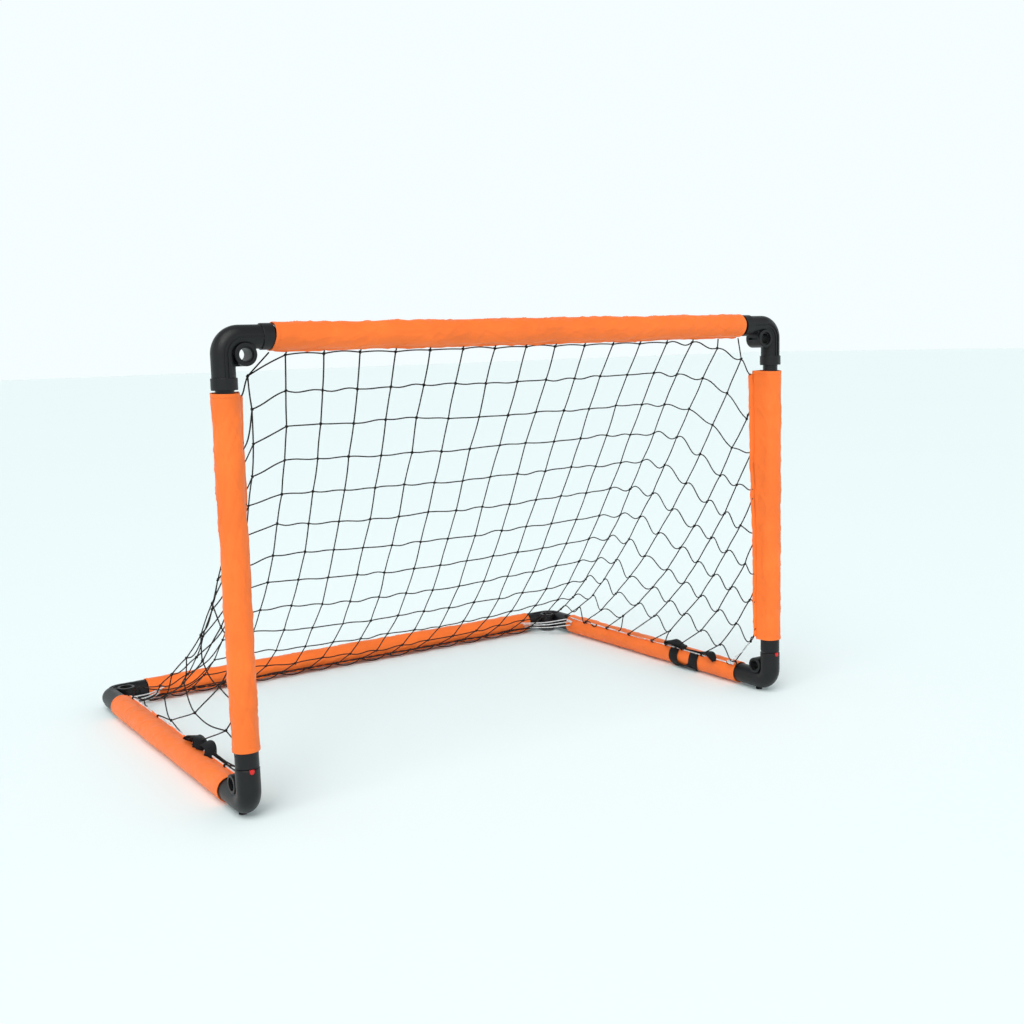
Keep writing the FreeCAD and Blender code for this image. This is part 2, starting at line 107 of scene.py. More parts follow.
class Nodes:
    """A material's node tree, with short calls to add and join nodes."""

    def __init__(self, name, base, roughness, **sockets):
        self.material = bpy.data.materials.new(name)
        self.material.use_nodes = True
        self.tree = self.material.node_tree
        self.shader = self.tree.nodes["Principled BSDF"]
        self.material.diffuse_color = (*base, 1)
        self.shader.inputs["Base Color"].default_value = (*base, 1)
        self.shader.inputs["Roughness"].default_value = roughness
        for key, value in sockets.items():
            self.shader.inputs[key.replace("_", " ")].default_value = value
        self.coordinates = self.add("ShaderNodeTexCoord").outputs["Object"]

    def add(self, kind, inputs=None, **settings):
        node = self.tree.nodes.new(kind)
        for key, value in settings.items():
            setattr(node, key, value)
        for key, value in (inputs or {}).items():
            if isinstance(value, bpy.types.NodeSocket):
                self.tree.links.new(value, node.inputs[key])
            else:
                node.inputs[key].default_value = value
        return node

    def mapped(self, scale=(1, 1, 1), turn=(0, 0, 0)):
        return self.add("ShaderNodeMapping", {"Vector": self.coordinates, "Scale": scale,
                                              "Rotation": turn}).outputs["Vector"]

    def noise(self, scale, detail=3.0, roughness=0.5, vector=None):
        return self.add("ShaderNodeTexNoise", {
            "Vector": vector or self.coordinates, "Scale": scale, "Detail": detail,
            "Roughness": roughness}).outputs["Fac"]

    def ramp(self, factor, stops):
        node = self.add("ShaderNodeValToRGB", {"Fac": factor})
        node.color_ramp.elements[0].position = stops[0][0]
        node.color_ramp.elements[0].color = (*stops[0][1], 1)
        node.color_ramp.elements[1].position = stops[-1][0]
        node.color_ramp.elements[1].color = (*stops[-1][1], 1)
        for position, colour in stops[1:-1]:
            node.color_ramp.elements.new(position).color = (*colour, 1)
        return node.outputs["Color"]

    def span(self, factor, low, high):
        return self.add("ShaderNodeMapRange", {"Value": factor, "To Min": low,
                                               "To Max": high}).outputs["Result"]

    def maths(self, operation, a, b):
        return self.add("ShaderNodeMath", {0: a, 1: b}, operation=operation).outputs[0]

    def set(self, socket, value):
        self.tree.links.new(value, self.shader.inputs[socket])

    def bump(self, height, distance, strength=1.0):
        inputs = {"Height": height, "Distance": distance, "Strength": strength}
        before = self.shader.inputs["Normal"].links
        if before:
            inputs["Normal"] = before[0].from_socket
        self.set("Normal", self.add("ShaderNodeBump", inputs).outputs["Normal"])


def shade(colour, factor):
    return tuple(min(1, c * factor) for c in colour)


BASE = {m["slot"]: tuple(m["base_color"]) for m in frame["record"]["materials"]}
BASE["orange_fabric"] = (0.93, 0.172, 0.02)
BASE["black_plastic"] = (0.005, 0.0052, 0.006)
BASE["tube_plastic"] = (0.004, 0.004, 0.0045)
BASE["net_twine"] = (0.012, 0.007, 0.006)
BASE["black_webbing"] = (0.004, 0.004, 0.005)
BASE["black_rubber"] = (0.006, 0.006, 0.006)


def orange_fabric():
    """Light coated polyester: fine weave, slight sheen, faint crumples and scuffs."""
    base = BASE["orange_fabric"]
    n = Nodes("orange_fabric", base, 0.5, Sheen_Weight=0.15, Sheen_Roughness=0.4)
    n.shader.inputs["Sheen Tint"].default_value = (1, 0.62, 0.35, 1)
    n.shader.inputs["Specular IOR Level"].default_value = 0.35
    tone = n.noise(14, 4, 0.55)
    n.set("Base Color", n.ramp(tone, [(0.3, shade(base, 0.9)), (0.52, base), (0.72, shade(base, 1.12))]))
    n.set("Roughness", n.span(n.noise(60, 3), 0.42, 0.6))
    threads = [n.add("ShaderNodeTexWave", {"Vector": n.coordinates, "Scale": 330.0, "Distortion": 0.4,
                                           "Detail": 0.0}, bands_direction=axis).outputs["Fac"]
               for axis in ("X", "Y", "Z")]
    weave = n.maths("ADD", n.maths("ADD", threads[0], threads[1]), threads[2])
    n.bump(weave, 0.00005, 0.35)
    wrinkle = n.add("ShaderNodeTexNoise", {"Vector": n.mapped((1, 1, 1), (0.5, 0.3, 0.6)), "Scale": 75.0,
                                           "Detail": 3.0, "Distortion": 1.2}).outputs["Fac"]
    n.bump(wrinkle, 0.0011, 0.5)
    return n.material


def moulded_plastic(name, roughness, grain, pebble):
    """Moulded plastic with a fine pebbled skin and handling marks."""
    base = BASE[name]
    n = Nodes(name, base, roughness)
    n.shader.inputs["Specular IOR Level"].default_value = 0.32
    n.set("Base Color", n.ramp(n.noise(22, 5), [(0.35, shade(base, 0.85)), (0.68, shade(base, 1.3))]))
    marks = n.noise(35, 6, 0.65)
    n.set("Roughness", n.span(marks, roughness - 0.08, roughness + 0.12))
    cells = n.add("ShaderNodeTexVoronoi", {"Vector": n.coordinates, "Scale": pebble}).outputs["Distance"]
    n.bump(cells, grain, 0.6)
    n.bump(n.noise(180, 2), grain * 0.8, 0.4)
    return n.material


def woven(name, roughness, scale, depth, sheen=0.15):
    """Webbing or cord: strands across the light, lint and worn edges."""
    base = BASE[name]
    n = Nodes(name, base, roughness, Sheen_Weight=sheen, Sheen_Roughness=0.5)
    n.shader.inputs["Specular IOR Level"].default_value = 0.25
    n.set("Base Color", n.ramp(n.noise(160, 4, 0.6), [(0.3, shade(base, 0.7)), (0.55, base),
                                                    (0.8, shade(base, 1.8))]))
    n.set("Roughness", n.span(n.noise(300, 2), roughness - 0.1, min(1, roughness + 0.1)))
    twill = n.add("ShaderNodeTexWave", {"Vector": n.mapped((1, 1, 1), (0.6, 0.6, 0.785)), "Scale": scale,
                                        "Distortion": 0.6}).outputs["Fac"]
    n.bump(twill, depth, 0.9)
    n.bump(n.noise(900, 2), depth * 0.5, 0.6)
    return n.material


def foam():
    n = Nodes("foam", BASE["foam"], 0.85)
    cells = n.add("ShaderNodeTexVoronoi", {"Vector": n.coordinates, "Scale": 900.0}).outputs["Distance"]
    # Base colour: the pits of the cells, which the bump below sinks, are painted darker, as painted shade in
    # the pores
    n.set("Base Color", n.ramp(cells, [(0.1, shade(BASE["foam"], 0.75)), (0.5, BASE["foam"])]))
    n.bump(cells, 0.0004, 0.8)
    return n.material


def steel():
    n = Nodes("steel", BASE["steel"], 0.3, Metallic=1.0)
    n.set("Roughness", n.span(n.noise(90, 5), 0.22, 0.42))
    tones = [(0.3, shade(BASE["steel"], 0.85)), (0.7, shade(BASE["steel"], 1.15))]
    n.set("Base Color", n.ramp(n.noise(30, 4), tones))
    n.bump(n.noise(1, 2, 0.5, n.mapped((300, 300, 2500))), 0.00004, 0.5)
    return n.material


MATERIAL = {
    "orange_fabric": orange_fabric(),
    "black_plastic": moulded_plastic("black_plastic", 0.38, 0.00012, 900.0),
    "tube_plastic": moulded_plastic("tube_plastic", 0.22, 0.00004, 500.0),
    "red_plastic": moulded_plastic("red_plastic", 0.25, 0.00004, 500.0),
    "black_rubber": moulded_plastic("black_rubber", 0.7, 0.00015, 1200.0),
    "net_twine": woven("net_twine", 0.75, 420.0, 0.0002, 0.03),
    "black_webbing": woven("black_webbing", 0.7, 260.0, 0.00035, 0.02),
    "white_cord": woven("white_cord", 0.7, 380.0, 0.00025),
    "foam": foam(),
    "steel": steel(),
}

for part in frame["record"]["subparts"]:
    carried = frame["nodes"][part["node"]]
    if not carried.material_slots:
        carried.data.materials.append(None)
    for material_slot in carried.material_slots:
        material_slot.material = MATERIAL[part["material_slot"]]


# Mesh tools

class Shape:
    """Vertices and faces gathered for one piece."""

    def __init__(self):
        self.verts, self.faces = [], []

    def add(self, verts, faces):
        first = len(self.verts)
        self.verts += [tuple(v) for v in verts]
        self.faces += [tuple(first + k for k in face) for face in faces]

    def piece(self, name, material, body=None, replaced=()):
        mesh = bpy.data.meshes.new(name)
        mesh.from_pydata(self.verts, [], self.faces)
        mesh.polygons.foreach_set("use_smooth", [True] * len(mesh.polygons))
        mesh.materials.append(MATERIAL[material])
        mesh.update()
        obj = bpy.data.objects.new(name, mesh)
        bpy.context.scene.collection.objects.link(obj)
        if replaced:
            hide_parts(*replaced)
        if body:
            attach(obj, body)
        return obj


def rings(count, around, closed=False):
    """Quads joining rings of verts; the caller caps open ends."""
    faces = []
    for a in range(count if closed else count - 1):
        b = (a + 1) % count
        for k in range(around):
            m = (k + 1) % around
            faces.append((a * around + k, a * around + m, b * around + m, b * around + k))
    return faces


def double_wall(shape, outside, inside, count, around):
    """A tube with two walls, closed at both ends, from count rings of outside and inside verts."""
    faces = rings(count, around)
    shape.add(outside, [tuple(reversed(f)) for f in faces])
    shape.add(inside, faces)
    total = len(outside)
    for row, flip in ((0, False), ((count - 1) * around, True)):
        for k in range(around):
            m = (k + 1) % around
            quad = (row + k, row + m, total + row + m, total + row + k)
            shape.faces.append(tuple(reversed(quad)) if flip else quad)


def strand(shape, points, radius, around=6, closed=False):
    """A round strand along points."""
    count = len(points)
    verts = []
    side = None
    for k in range(count):
        if closed:
            along = (points[(k + 1) % count] - points[k - 1]).normalized()
        else:
            along = (points[min(k + 1, count - 1)] - points[max(k - 1, 0)]).normalized()
        if side is None:
            side = along.cross(UP if abs(along.z) < 0.9 else Vector((1, 0, 0)))
        side = (side - along * side.dot(along)).normalized()
        other = along.cross(side)
        for m in range(around):
            angle = 2 * math.pi * m / around
            verts.append(points[k] + (side * math.cos(angle) + other * math.sin(angle)) * radius)
    faces = rings(count, around, closed)
    if not closed:
        faces.append(tuple(reversed(range(around))))
        faces.append(tuple(range((count - 1) * around, count * around)))
    shape.add(verts, faces)


def ribbon(shape, points, across, width, thickness):
    """A flat band along points; across gives its width direction, and width may change along it."""
    count = len(points)
    edge = thickness * 0.35
    verts = []
    for k in range(count):
        along = (points[min(k + 1, count - 1)] - points[max(k - 1, 0)]).normalized()
        wide = (across[k] - along * across[k].dot(along)).normalized()
        thick = along.cross(wide)
        half = (width[k] if isinstance(width, list) else width) / 2
        for a, b in ((-half + edge, 1), (half - edge, 1), (half, 0.4), (half, -0.4),
                     (half - edge, -1), (-half + edge, -1), (-half, -0.4), (-half, 0.4)):
            verts.append(points[k] + wide * a + thick * (b * thickness / 2))
    faces = rings(count, 8)
    faces += [tuple(reversed(range(8))), tuple(range((count - 1) * 8, count * 8))]
    shape.add(verts, faces)


def smooth_path(corners, steps=6):
    """Points on a smooth line through the corners."""
    ends = [corners[0] * 2 - corners[1]] + list(corners) + [corners[-1] * 2 - corners[-2]]
    points = []
    for a, b, c, d in zip(ends, ends[1:], ends[2:], ends[3:]):
        for k in range(steps):
            t = k / steps
            points.append((b * 2 + (c - a) * t + (a * 2 - b * 5 + c * 4 - d) * t ** 2
                           + (b * 3 - a - c * 3 + d) * t ** 3) / 2)
    return points + [corners[-1]]


# Sleeves, their seams and the foam under them

WALL = 1.1 * MM
FOAM_RADIUS = 13.7 * MM
AROUND = 72
STRAP_AT = FRONT_Y + 187 * MM
HEM_WIDTH = 4.6 * MM
HEM_STITCH = 5.2 * MM
SEAM_CLEAR = 4 * MM


def sleeve_frame(tube):
    """Start, length, direction along and the two directions across of a tube's sleeve."""
    low, high = (Vector(v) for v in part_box(f"{tube}_sleeve"))
    middle = (low + high) / 2
    axis = max(range(3), key=lambda k: high[k] - low[k])
    along = Vector([1.0 if k == axis else 0.0 for k in range(3)])
    start = middle.copy()
    start[axis] = low[axis]
    inward = {"crossbar": Vector((0, 0.42, -0.91)), "rear_rail": Vector((0, -0.8, -0.6)),
              "left_post": Vector((0.836, 0.549, 0)), "right_post": Vector((-0.836, 0.549, 0)),
              "left_rail": Vector((0.64, 0, 0.77)), "right_rail": Vector((-0.64, 0, 0.77))}[tube]
    inward = inward.normalized()
    return start, high[axis] - low[axis], along, inward, along.cross(inward)


LOOSE = {"crossbar": 1.5, "rear_rail": 1.1, "left_post": 1.4, "right_post": 1.2,
         "left_rail": 1.1, "right_rail": 1.1}


def seam_reach(tube, s, length):
    """Distance from the tube's axis to the line where the cloth's two edges are sewn together."""
    if tube.endswith("post"):
        return (20.5 + 5.5 * (s / length)) * MM
    return SLEEVE_RADIUS


def flap_height(tube, s, length):
    """Width of the double cloth beyond the seam."""
    return (4.6 + 2.2 * (s / length)) * MM if tube.endswith("post") else 3.4 * MM


def sleeve_radius(tube, seed, s, length, angle):
    """Radius of the outside of the cloth, with slack, crumples, folds and a stitched hem."""
    ca, sa = math.cos(angle), math.sin(angle)
    apart = abs(math.remainder(angle, 2 * math.pi))
    tangent = math.acos(min(1.0, SLEEVE_RADIUS / seam_reach(tube, s, length)))
    drawn = SLEEVE_RADIUS / math.cos(max(0.0, tangent - apart))
    calm = min(1.0, min(s, length - s) / (35 * MM) + 0.12)
    if tube.endswith("_rail") and tube != "rear_rail":
        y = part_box(f"{tube}_sleeve")[0][1] + s
        calm *= 1 - 0.9 * math.exp(-((y - STRAP_AT) / (55 * MM)) ** 2)
    calm *= LOOSE[tube]
    slack = noise.noise(Vector((s / (62 * MM), ca * 0.7, sa * 0.7 + seed)))
    pucker = noise.noise(Vector((s / (17 * MM), ca * 1.3 + seed, sa * 1.3)))
    spiral = angle + s / (46 * MM)
    crease = noise.noise(Vector((s / (52 * MM), math.cos(spiral) * 1.15,
                                 math.sin(spiral) * 1.15 + seed * 2)))
    crease = max(0.0, 1 - abs(crease) * 7.5) ** 1.4
    spiral = angle - s / (64 * MM)
    fold = noise.noise(Vector((s / (80 * MM) + seed, math.cos(spiral) * 0.95, math.sin(spiral) * 0.95)))
    fold = max(0.0, 1 - abs(fold) * 9) ** 1.3
    out = calm * (0.95 * slack + 0.4 * pucker + 0.75 * crease - 0.7 * fold) * MM
    edge = min(s, length - s)
    hem = 0.3 * MM * (1 - min(1, max(0, (edge - HEM_WIDTH) / (0.9 * MM))))
    groove = -0.35 * MM * math.exp(-((edge - HEM_STITCH) / (0.55 * MM)) ** 2)
    flap = 0.9 * MM * math.exp(-(math.remainder(angle, 2 * math.pi) / 0.13) ** 2)
    out = max(-1.15 * MM, min(1.6 * MM, out))
    return drawn + out + hem + groove + flap


def end_shift(tube, end, angle, inward, across):
    """How far a sleeve's end stands beyond its CAD end, which is cut a little out of square."""
    point = inward * math.cos(angle) + across * math.sin(angle)
    if tube == "crossbar" and end == 0:
        return (-1.8 * MM) * max(0.0, -point.z) + 1.4 * MM * point.z
    if tube == "crossbar":
        return (-4.5 - 1.6 * max(0.0, -point.z)) * MM
    if tube.endswith("post") and end == 1:
        return 0.9 * MM * point.y
    return 0.5 * MM * point.x if end else -0.4 * MM * point.y


def make_sleeve(tube, number):
    start, length, along, inward, across = sleeve_frame(tube)
    seed = 3.7 * number + 1.3
    steps = int(length / (2.2 * MM))
    stations = [length * k / steps for k in range(steps + 1)]
    for near in (0.6, 3.5, 4.9, 5.6):
        stations += [near * MM, length - near * MM]
    stations = sorted(set(round(s, 6) for s in stations))
    outside, inside = [], []
    for s in stations:
        t = s / length
        for k in range(AROUND):
            angle = 2 * math.pi * k / AROUND
            radius = sleeve_radius(tube, seed, s, length, angle)
            shift = ((1 - t) ** 12 * end_shift(tube, 0, angle, inward, across)
                     + t ** 12 * end_shift(tube, 1, angle, inward, across))
            direction = inward * math.cos(angle) + across * math.sin(angle)
            base = start + along * (s + shift)
            outside.append(base + direction * radius)
            inside.append(base + direction * (radius - WALL))
    shell = Shape()
    double_wall(shell, outside, inside, len(stations), AROUND)
    body = "front_frame" if tube == "crossbar" or tube.endswith("post") else "base"
    cover = shell.piece(f"{tube}_cover", "orange_fabric", body, [f"{tube}_sleeve"])

    seam = Shape()
    count = int((length - 2 * SEAM_CLEAR) / (4 * MM))
    points, directions, heights = [], [], []
    for k in range(count + 1):
        s = SEAM_CLEAR + (length - 2 * SEAM_CLEAR) * k / count
        sway = noise.noise(Vector((s / (30 * MM), seed, 5.5))) * 0.07
        direction = (inward * math.cos(sway) + across * math.sin(sway)).normalized()
        radius = sleeve_radius(tube, seed, s, length, 0)
        trim = 0.5 * MM * noise.noise(Vector((s / (12 * MM), 9.1, seed)))
        round_off = 1.5 * MM if k in (0, count) else 0
        tall = flap_height(tube, s, length) - round_off
        points.append(start + along * s + direction * (radius - 1.0 * MM + tall / 2 + trim))
        heights.append(tall + 1.2 * MM)
        directions.append(direction)
    ribbon(seam, points, directions, heights, 1.3 * MM)
    stitch_line(seam, points, directions, heights, along)
    for s in (HEM_STITCH, length - HEM_STITCH):
        for k in range(20):
            middle = 2 * math.pi * (k + 0.5) / 20
            stitch = []
            for turn in (-0.1, -0.05, 0.05, 0.1):
                angle = middle + turn
                direction = inward * math.cos(angle) + across * math.sin(angle)
                lift = -0.1 if abs(turn) > 0.07 else 0.12
                radius = sleeve_radius(tube, seed, s, length, angle) + lift * MM
                stitch.append(start + along * s + direction * radius)
            strand(seam, stitch, 0.28 * MM, 5)
    welt = seam.piece(f"{tube}_welt", "orange_fabric", body)
    make_foam(tube, start, length, along, inward, across, body)


def stitch_line(shape, points, directions, heights, along):
    """Thread stitches along the foot of a flap, on both of its faces."""
    for a, b, direction, height in zip(points, points[1:], directions, heights):
        for face in (-1, 1):
            side = along.cross(direction).normalized() * face
            foot = direction * (-height * 0.22) + side * (0.66 * MM)
            strand(shape, [a + foot + (b - a) * 0.12, a + foot + (b - a) * 0.45 + side * 0.15 * MM,
                           a + foot + (b - a) * 0.78], 0.26 * MM, 4)


def make_foam(tube, start, length, along, inward, across, body):
    """Foam tube under the cloth, a little shorter than its sleeve."""
    around, inset = 40, 3 * MM
    count = int(length / (9 * MM))
    outer, inner = [], []
    for k in range(count + 1):
        s = inset + (length - 2 * inset) * k / count
        soft = 0.35 * MM if k in (0, count) else 0
        for m in range(around):
            angle = 2 * math.pi * m / around
            direction = inward * math.cos(angle) + across * math.sin(angle)
            dent = 0.2 * MM * noise.noise(Vector((s / (25 * MM), math.cos(angle), math.sin(angle))))
            outer.append(start + along * s + direction * (FOAM_RADIUS + dent - soft))
            inner.append(start + along * s + direction * (TUBE_RADIUS + 0.15 * MM))
    shape = Shape()
    double_wall(shape, outer, inner, count + 1, around)
    piece = shape.piece(f"{tube}_foam", "foam", body, [f"{tube}_liner"])


for number, name in enumerate(("crossbar", "rear_rail", "left_post", "right_post",
                               "left_rail", "right_rail")):
    make_sleeve(name, number)


# Net: columns run down and back, numbered from the left; rows run across, numbered from the crossbar

TWINE = 0.95 * MM
LAST_ROW = 12
BACK_COLUMNS = range(17)                                   # those that hang from the crossbar
RAIL_FOOT, RAIL_PITCH = 80, 64                             # columns' feet on the right rail, mm
POST_TOP, POST_PITCH = 433, 71                             # where side columns leave the posts, mm
REAR_FOOT, REAR_PITCH = -306, 51.5                         # columns' feet on the rear rail, mm
# heights on the posts, and distances behind the mouth on the rails, where each row is tied, mm
POST_ENDS = {"right": {0: 484, 1: 431, 2: 363, 3: 305, 4: 236, 5: 172, 6: 127, 7: 84},
             "left": {0: 488, 1: 425, 2: 360, 3: 300, 4: 236, 5: 172, 6: 127, 7: 84}}
RAIL_ENDS = {"right": {8: 58, 9: 236, 10: 364, 11: 430}, "left": {8: 84, 9: 440, 10: 540}}
CORD_OFFSET, CORD_ANGLE = 19.6 * MM, math.radians(50)
LACE_X = SIDE_X - CORD_OFFSET * math.cos(CORD_ANGLE) - 1.5 * MM
LACE_Z = RAIL_Z + CORD_OFFSET * math.sin(CORD_ANGLE) + 1.2 * MM
rng = random.Random(11)


def on_post(side, height):
    """A point just inside the edge of a post's flap, that high over the rail's axis."""
    post = f"{side}_post"
    start, length, _, inward, _ = sleeve_frame(post)
    s = min(length - 5 * MM, max(5 * MM, RAIL_Z + height * MM - start.z))
    reach = seam_reach(post, s, length) + flap_height(post, s, length) - 2 * MM
    return start + UP * s + inward * reach


def on_rail(side, distance):
    return Vector((SIDES[side] * LACE_X, FRONT_Y + distance * MM, LACE_Z))


def on_rear(x):
    return Vector((x * MM, REAR_Y - 19 * MM, RAIL_Z - 8.5 * MM))


class Column:
    """A line of knots: where it hangs from, its foot, its sag and the rows that it takes part in."""

    def __init__(self, top, foot, sag, rows, lean=1.0, low=1.0, share=None, step=None, lead=0.0):
        self.top, self.foot, self.rows = top, foot, list(rows)
        self.sag, self.lean, self.low = sag * MM, lean, low
        line = [self.at(k / 300) for k in range(301)]
        run = [0.0]
        for a, b in zip(line, line[1:]):
            run.append(run[-1] + (b - a).length)
        if share:
            step = run[-1] * share
        elif step is None:
            step, lead = run[-1] / len(self.rows), run[-1] / len(self.rows) / 2
        self.knots = {}
        for number, row in enumerate(self.rows):
            reach = lead + step * number
            self.knots[row] = line[min(range(301), key=lambda k: abs(run[k] - reach))]

    def at(self, t):
        point = self.top.lerp(self.foot, t)
        point.x = self.top.x + (self.foot.x - self.top.x) * (1 - (1 - t) ** self.lean)
        lowest = self.low / (self.low + 1)
        fall = t ** self.low * (1 - t) / (lowest ** self.low * (1 - lowest))
        point.z -= self.sag * fall
        return point


COLUMNS = {}
for i in BACK_COLUMNS:
    low = {0: 45, 15: 32, 16: 50}.get(i, 22)
    first = Vector(((-401 + 49 * i) * MM, FRONT_Y + 10 * MM, BAR_Z - low * MM))
    if i <= 13:
        COLUMNS[i] = Column(first, on_rear(REAR_FOOT + REAR_PITCH * i), 62 - 0.4 * (i - 7) ** 2,
                            range(LAST_ROW + 1), lean=1.3 + 1.5 * math.exp(-i / 4), low=2,
                            share=1 / 12.3)
    elif i == 14:
        corner_foot = Vector((SIDE_X - 42 * MM, REAR_Y - 38 * MM, RAIL_Z + 8 * MM))
        COLUMNS[i] = Column(first, corner_foot, 55, range(12), lean=1.3, low=1.7, share=1 / 12.1)
    else:
        COLUMNS[i] = Column(first, on_rail("right", RAIL_FOOT + RAIL_PITCH * (22 - i)), 57, range(12),
                            lean=1.1, low=16.5 - i if i == 15 else 1.0, share=1 / (27.0 - i))
for i, (first_row, last_row, lead) in {17: (1, 10, 23), 18: (3, 9, 64), 19: (4, 9, 53), 20: (5, 8, 41),
                                       21: (6, 8, 25), 22: (7, 8, 20)}.items():
    top = on_post("right", POST_TOP - POST_PITCH * (i - 17))
    foot = on_rail("right", RAIL_FOOT + RAIL_PITCH * (22 - i))
    COLUMNS[i] = Column(top, foot, 95 * (top - foot).length + 5, range(first_row, last_row + 1),
                        step=54.5 * MM, lead=lead * MM)
LEFT_FEET = {-1: on_rear(-343), -2: Vector((-392 * MM, REAR_Y - 26 * MM, RAIL_Z + 12 * MM)),
             -3: on_rail("left", 500), -4: on_rail("left", 380), -5: on_rail("left", 250),
             -6: on_rail("left", 110)}
for i, (first_row, last_row) in {-1: (2, 11), -2: (3, 10), -3: (4, 9), -4: (5, 8), -5: (6, 8),
                                 -6: (7, 8)}.items():
    top = on_post("left", POST_TOP - POST_PITCH * (-i - 1))
    COLUMNS[i] = Column(top, LEFT_FEET[i], 95 * (top - LEFT_FEET[i]).length + 5,
                        range(first_row, last_row + 1))


KNOTS = {}
for i in sorted(COLUMNS):
    for j, spot in COLUMNS[i].knots.items():
        stray = Vector([rng.uniform(-1, 1) for _ in range(3)]) * (1.6 * MM)
        if j in (0, LAST_ROW):
            stray *= 0.4
        KNOTS[i, j] = spot + stray


def tie(shape, place, size=1.0):
    """A small knot: one closed strand wound through itself."""
    turn = Euler([rng.uniform(0, 6.28) for _ in range(3)]).to_matrix()
    loop = []
    for k in range(16):
        a = 2 * math.pi * k / 16
        loop.append(place + turn @ Vector((math.sin(a) + 2 * math.sin(2 * a),
                                           math.cos(a) - 2 * math.cos(2 * a),
                                           -1.3 * math.sin(3 * a))) * (0.42 * MM * size))
    strand(shape, loop, 0.75 * MM * size, 5, closed=True)


def twine(shape, a, b, bow=0.0, swing=0.0, side=0.0, steps=8, radius=TWINE):
    """Twine from a to b: bow hangs down in the middle, swing first rises and then drops."""
    flat = Vector((b.y - a.y, a.x - b.x, 0))
    flat = flat.normalized() if flat.length > 1e-6 else Vector((1, 0, 0))
    points = []
    for k in range(steps + 1):
        t = k / steps
        lift = math.sin(2 * math.pi * t) * swing - math.sin(math.pi * t) * bow
        points.append(a.lerp(b, t) + UP * (lift * MM) + flat * (math.sin(math.pi * t) * side * MM))
    strand(shape, points, radius, 6)


def row_end(side, j):
    """Where a row leaves its last knot for the post or the rail."""
    if j in POST_ENDS[side]:
        return on_post(side, POST_ENDS[side][j])
    if j in RAIL_ENDS[side]:
        return on_rail(side, RAIL_ENDS[side][j])
    return on_rear(-370)


net = Shape()
for i in sorted(COLUMNS):
    top, foot, order = COLUMNS[i].top, COLUMNS[i].foot, COLUMNS[i].rows
    if i in BACK_COLUMNS:
        start_x = max(-0.374, min(0.374, top.x))
        start = Vector((start_x, FRONT_Y + 7.5 * MM, BAR_Z - SLEEVE_RADIUS - 2 * MM))
        twine(net, start, KNOTS[i, 0], steps=4)
    else:
        twine(net, top, KNOTS[i, order[0]], bow=rng.uniform(0, 2), side=rng.uniform(-2, 2))
    for a, b in zip(order, order[1:]):
        slack = 0.7 if i in range(14) else 1.3
        twine(net, KNOTS[i, a], KNOTS[i, b], swing=rng.uniform(-0.5, 0.5) * slack,
              side=rng.uniform(-1, 1) * slack)
    twine(net, KNOTS[i, order[-1]], foot, steps=4)
for (i, j), place in KNOTS.items():
    tie(net, place, 1.3)
    if (i + 1, j) in KNOTS:
        away = KNOTS[i + 1, j]
        if i >= 14 and j >= 3:
            drop = 5.5 + rng.uniform(-1.5, 2.5)
            twine(net, place, away, bow=rng.uniform(0, 2), swing=drop, side=rng.uniform(-2, 2), steps=12)
        elif i < 0:
            twine(net, place, away, bow=rng.uniform(3, 9), swing=rng.uniform(-2, 2), side=rng.uniform(-2, 2),
                  steps=10)
        elif i >= 13:
            twine(net, place, away, bow=rng.uniform(0, 2), swing=rng.uniform(1, 3),
                  side=rng.uniform(-2, 2), steps=10)
        elif j == 0:
            twine(net, place, away, bow=-rng.uniform(0.5, 2.5))
        else:
            twine(net, place, away, bow=rng.uniform(-0.5, 1.2), swing=rng.uniform(-1.8, 0.8))
for j in range(LAST_ROW):
    known = [i for i, row in KNOTS if row == j]
    for side, i in (("left", min(known)), ("right", max(known))):
        twine(net, KNOTS[i, j], row_end(side, j), bow=rng.uniform(0, 3), swing=rng.uniform(0, 4),
              side=rng.uniform(-3, 3), steps=10)
        tie(net, row_end(side, j), 0.8)
# The net's foot is gathered on a double twine along the rear rail, with loops hanging from it
for phase in (0, math.pi):
    line = []
    for k in range(281):
        x = (-400 + 796 * k / 280) * MM
        turn = phase + x / (5.2 * MM)
        line.append(Vector((x, REAR_Y - 19.6 * MM + 0.9 * MM * math.cos(turn),
                            RAIL_Z - 8.6 * MM + 0.9 * MM * math.sin(turn)
                            + 0.8 * MM * noise.noise(Vector((x / (40 * MM), 0, 2))))))
    strand(net, line, 0.8 * MM, 6)
feet = [-396, -343] + [REAR_FOOT + REAR_PITCH * i for i in range(14)]
for a, b in zip(feet, feet[1:]):
    start, end = on_rear(a), on_rear(b)
    fall = rng.uniform(5.5, 7.2)
    middle = start.lerp(end, 0.5) + Vector((0, -4 * MM, -fall * MM))
    strand(net, smooth_path([start, start.lerp(end, 0.18) + Vector((0, -2, -0.55 * fall)) * MM, middle,
                             start.lerp(end, 0.8) + Vector((0, -3, -0.6 * fall)) * MM, end], 5), TWINE, 6)
    tie(net, start, 1.1)

net.verts = [(x, y, max(z, 1.2 * MM)) for x, y, z in net.verts]
FULL_TURN = math.radians(86)


def fold_with_frame(obj):
    """Bakes the piece's transform into its mesh.

    It also works out each point's share of the fold from the point's angle about the hinge,
    but nothing uses that share.
    """
    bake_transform(obj)
    spots = np.empty(len(obj.data.vertices) * 3)
    obj.data.vertices.foreach_get("co", spots)
    spots = spots.reshape(-1, 3)
    raised = np.arctan2(spots[:, 2] - PIVOT.z, np.maximum(spots[:, 1] - PIVOT.y, 1e-4))
    share = np.clip(raised / FULL_TURN, 0, 1)
    share = np.clip(share + 0.06 * np.sin(math.pi * share), 0, 1)


fold_with_frame(net.piece("net", "net_twine", None, ["net_back", "net_side_left", "net_side_right"]))


# Straps on the side rails

